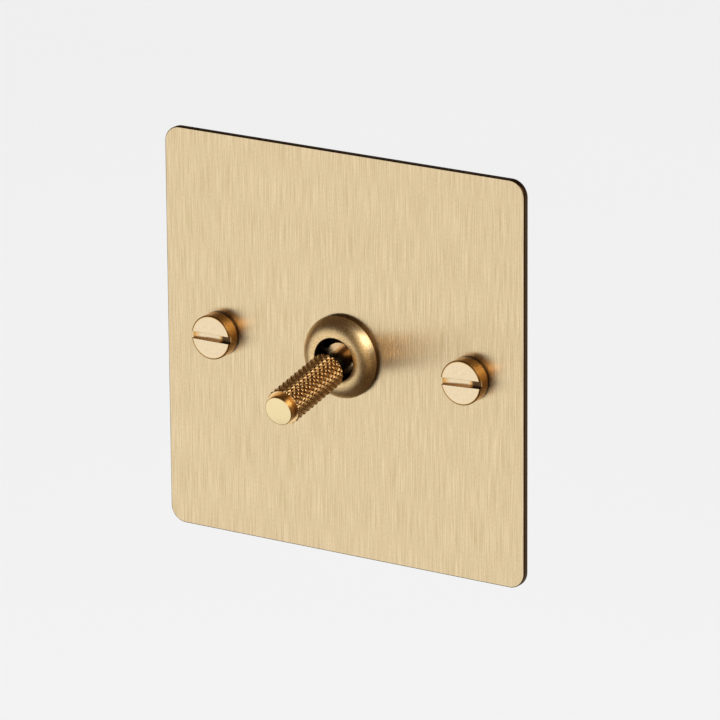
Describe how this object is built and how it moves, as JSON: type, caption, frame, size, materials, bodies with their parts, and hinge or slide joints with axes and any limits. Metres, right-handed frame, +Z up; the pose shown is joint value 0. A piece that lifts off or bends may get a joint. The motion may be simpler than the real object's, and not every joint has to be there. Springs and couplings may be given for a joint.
{
  "type": "toggle wall switch",
  "caption": "Square brass wall plate with a knurled toggle in a domed ring, slotted fixing screws and a two-way switch mechanism behind.",
  "frame": {"origin": "centre of the face plate's back face, in the plane of the wall", "axes": "+Z up the wall, +Y into the wall; the front faces -Y, and +X is to the right seen from the front"},
  "size_m": [0.086, 0.0506, 0.086],
  "materials": {
    "brushed_brass": "satin, fine vertical brush lines, clear lacquer",
    "turned_brass": "fine turned brass, satin faces and polished sides",
    "aged_brass": "bead-blasted, slightly darkened",
    "knurled_brass": "diamond knurled, polished crests and dark grooves",
    "nickel_plate": "bright nickel plate",
    "zinc_steel": "zinc plated steel",
    "contact_silver": "silver contact alloy",
    "housing_plastic": "moulded thermoset, fine matt texture",
    "nylon": "natural nylon"
  },
  "bodies": {
    "wall_plate": {"face_plate": "brushed_brass", "bezel_ring": "aged_brass", "fixing_screw_left": "turned_brass", "fixing_screw_right": "turned_brass", "screw_retainer_left": "nylon", "screw_retainer_right": "nylon", "pivot_pin": "zinc_steel", "threaded_bush": "nickel_plate", "lock_washer": "zinc_steel", "bush_nut": "nickel_plate", "switch_frame": "zinc_steel", "frame_rivet_upper": "zinc_steel", "frame_rivet_lower": "zinc_steel", "switch_housing": "housing_plastic", "common_terminal": "turned_brass", "upper_terminal": "turned_brass", "lower_terminal": "turned_brass", "upper_fixed_contact": "contact_silver", "lower_fixed_contact": "contact_silver", "common_terminal_screw": "zinc_steel", "upper_terminal_screw": "zinc_steel", "lower_terminal_screw": "zinc_steel", "earth_block": "turned_brass", "earth_screw": "zinc_steel"},
    "toggle": {"toggle_lever": "turned_brass", "knurled_grip": "knurled_brass", "grip_end_cap": "turned_brass", "plunger_spring": "zinc_steel"},
    "plunger": {"plunger": "nylon"},
    "rocker": {"contact_rocker": "turned_brass"}
  },
  "joints": [
    {"name": "toggle_tilt", "type": "hinge", "parent": "wall_plate", "child": "toggle", "pos_m": [0, 0.0004, 0], "axis": [-1, 0, 0], "range_deg": [0, 22]},
    {"name": "rocker_tilt", "type": "hinge", "parent": "wall_plate", "child": "rocker", "pos_m": [0, 0.017, 0], "axis": [1, 0, 0], "range_deg": [0, 16]},
    {"name": "plunger_slide", "type": "slide", "parent": "toggle", "child": "plunger", "axis": [0, -0.9816, -0.1908], "range_m": [0, 0.0009], "stiffness_N_per_m": 200, "springref_m": -0.001, "deforming": ["plunger_spring"]}
  ],
  "couplings": [
    {"joint": "rocker_tilt", "follows": "toggle_tilt", "ratio": 0.72727}
  ]
}
